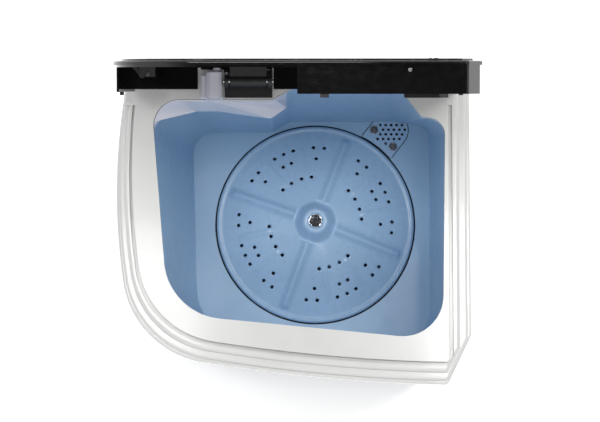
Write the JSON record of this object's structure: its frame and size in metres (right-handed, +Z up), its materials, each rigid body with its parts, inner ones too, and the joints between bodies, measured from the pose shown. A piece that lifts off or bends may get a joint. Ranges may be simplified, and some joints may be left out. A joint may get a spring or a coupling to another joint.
{
  "type": "top load washing machine",
  "caption": "Upright top load washing machine with an open hinged lid, a moulded tub with a ribbed pulsator, a belt drive and a stepped rim.",
  "frame": {"origin": "on the floor under the middle of the cabinet", "axes": "+Z up, -Y towards the front where the knobs are, +X to the right of someone in front of it"},
  "size_m": [0.505, 0.4699, 1.2088],
  "materials": {
    "body_white": "glossy moulded ABS",
    "lining_white": "glossy moulded ABS",
    "tub_blue": "satin moulded PP",
    "disc_blue": "satin moulded PP",
    "lid_black": "high gloss ABS",
    "lid_gloss": "polished acrylic skin",
    "black_plastic": "fine grained ABS",
    "grey_plastic": "moulded PP",
    "base_grey": "moulded PP",
    "knob_white": "glossy moulded ABS",
    "rubber_black": "moulded rubber",
    "steel": "turned, brushed",
    "screw_steel": "zinc plated",
    "chrome": "polished",
    "cast_aluminium": "die cast",
    "bronze": "sintered bronze",
    "bracket_steel": "galvanised sheet, painted"
  },
  "bodies": {
    "root": {"base_tray": "base_grey", "feet": "rubber_black", "cabinet": "body_white", "rear_service_cover": "grey_plastic", "rear_cover_screws": "screw_steel", "top_cover": "body_white", "splash_lip": "lining_white", "wash_tub": "tub_blue", "drain_cover": "disc_blue", "drain_cover_screws": "screw_steel", "drain_valve_body": "grey_plastic", "drain_pipe": "grey_plastic", "drain_outlet": "grey_plastic", "cord_gland": "rubber_black", "inlet_fitting": "grey_plastic", "inlet_pipe": "rubber_black", "inlet_spout": "lining_white", "bearing_housing": "cast_aluminium", "shaft_bushes": "bronze", "shaft_seal": "rubber_black", "drive_belt": "rubber_black", "wash_motor": "cast_aluminium", "motor_mounts": "rubber_black", "motor_bolts": "screw_steel", "motor_bracket": "bracket_steel", "capacitor": "grey_plastic", "capacitor_clamp": "bracket_steel", "console_fascia": "black_plastic", "timer_body": "black_plastic", "selector_body": "black_plastic", "selector_cable": "black_plastic", "hinge_mount_left": "black_plastic", "hinge_mount_right": "black_plastic", "hinge_pins": "steel", "hinge_clip": "lining_white"},
    "lid": {"lid_shell": "lid_black", "lid_plate": "lid_black", "lid_glass": "lid_gloss", "lid_hinge_left": "black_plastic", "lid_hinge_right": "black_plastic", "lid_bracket": "black_plastic", "lid_screws": "screw_steel", "lid_bumpers": "rubber_black", "wall_studs": "rubber_black"},
    "pulsator_drive": {"pulsator": "disc_blue", "pulsator_screw": "chrome", "pulsator_shaft": "steel", "drive_pulley": "black_plastic", "pulley_nut": "screw_steel"},
    "motor_rotor": {"motor_shaft": "steel", "motor_pulley": "cast_aluminium"},
    "timer": {"timer_knob": "knob_white", "timer_shaft": "steel"},
    "selector": {"selector_knob": "knob_white", "selector_shaft": "steel", "selector_cam": "grey_plastic"},
    "drain_valve": {"drain_valve_plunger": "rubber_black", "drain_valve_stem": "steel", "drain_valve_spring": "steel"}
  },
  "joints": [
    {"name": "lid_hinge", "type": "hinge", "parent": "root", "child": "lid", "pos_m": [0, 0.199, 0.796], "axis": [1, 0, 0], "range_deg": [0, 80]},
    {"name": "pulsator_spin", "type": "hinge", "parent": "root", "child": "pulsator_drive", "pos_m": [0.0335, 0.034, 0.43], "axis": [0, 0, 1], "continuous": true},
    {"name": "motor_spin", "type": "hinge", "parent": "root", "child": "motor_rotor", "pos_m": [-0.105, -0.06, 0.271], "axis": [0, 0, 1], "continuous": true},
    {"name": "timer_turn", "type": "hinge", "parent": "root", "child": "timer", "pos_m": [0.14388, -0.21454, 0.668], "axis": [-0.068, -0.9977, 0], "range_deg": [-300, 0]},
    {"name": "selector_turn", "type": "hinge", "parent": "root", "child": "selector", "pos_m": [0.04012, -0.20746, 0.668], "axis": [-0.068, -0.9977, 0], "range_deg": [-90, 0]},
    {"name": "drain_pull", "type": "slide", "parent": "root", "child": "drain_valve", "axis": [-1, 0, 0], "range_m": [0, 0.01]}
  ],
  "couplings": [
    {"joint": "motor_spin", "follows": "pulsator_spin", "ratio": 4.75},
    {"joint": "selector_turn", "follows": "drain_pull", "rad_per_m": -157.08}
  ]
}
